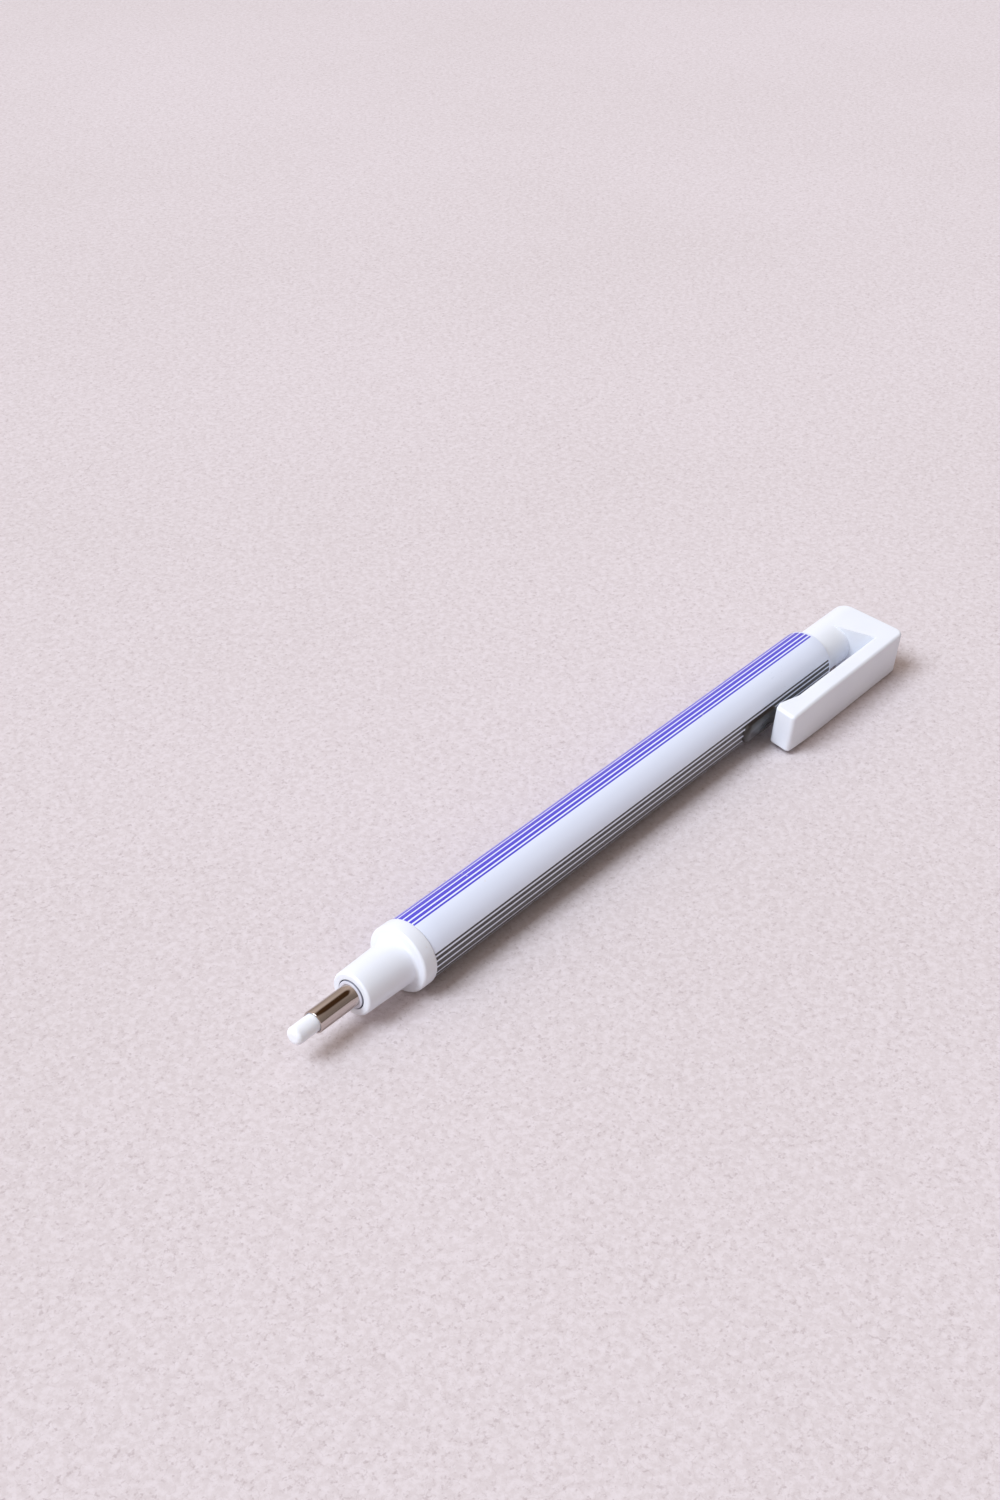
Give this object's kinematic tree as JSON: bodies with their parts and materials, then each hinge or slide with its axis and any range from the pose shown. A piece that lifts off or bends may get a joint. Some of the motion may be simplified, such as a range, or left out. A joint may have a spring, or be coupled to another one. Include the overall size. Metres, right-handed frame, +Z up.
{
  "type": "pencil eraser stick",
  "caption": "Push-button eraser stick: slim round barrel, collared nose with a steel guide pipe round a thin eraser, and a knock moulded with its clip.",
  "frame": {"origin": "on the pen's axis in the plain middle of the barrel, 54.15 mm behind the eraser's worn tip", "axes": "+X along the pen from the eraser to the knock, +Z up as the pen lies on a table, the clip towards -Y and 6.2 degrees down"},
  "size_m": [0.1187, 0.0137, 0.0088],
  "materials": {
    "barrel_print": "smooth moulded barrel with lengthwise printed bands under a clear coat",
    "white_moulding": "satin white moulded plastic",
    "pipe_steel": "polished drawn steel tube",
    "bush_plastic": "pale grey moulded plastic",
    "eraser_white": "matte soft white vinyl eraser",
    "soft_rubber": "soft dark rubber",
    "mechanism_plastic": "natural acetal",
    "ring_brass": "turned brass",
    "chuck_plastic": "natural acetal",
    "tube_plastic": "milky extruded polypropylene",
    "spring_steel": "drawn spring wire"
  },
  "bodies": {
    "barrel_assembly": {"barrel": "barrel_print", "nose_cone": "white_moulding", "guide_pipe": "pipe_steel", "pipe_bush": "bush_plastic", "eraser_retainer": "soft_rubber", "mechanism_sleeve": "mechanism_plastic", "return_spring": "spring_steel"},
    "clutch": {"clutch_ring": "ring_brass"},
    "feed_unit": {"chuck": "chuck_plastic", "chuck_connector": "mechanism_plastic", "feed_tube": "tube_plastic"},
    "knock": {"knock_with_clip": "white_moulding"},
    "eraser": {"eraser_core": "eraser_white"}
  },
  "joints": [
    {"name": "feed_press", "type": "slide", "parent": "barrel_assembly", "child": "feed_unit", "axis": [-1, 0, 0], "range_m": [0, 0.004], "stiffness_N_per_m": 1000, "springref_m": -0.003, "deforming": ["return_spring"]},
    {"name": "ring_slide", "type": "slide", "parent": "barrel_assembly", "child": "clutch", "axis": [-1, 0, 0], "range_m": [0, 0.001]},
    {"name": "knock_pull", "type": "slide", "parent": "feed_unit", "child": "knock", "axis": [1, 0, 0], "range_m": [0, 0.016]},
    {"name": "eraser_feed", "type": "slide", "parent": "barrel_assembly", "child": "eraser", "axis": [-1, 0, 0], "range_m": [-0.00335, 0.035]}
  ],
  "couplings": [
    {"joint": "ring_slide", "follows": "feed_press", "ratio": 0.25}
  ]
}
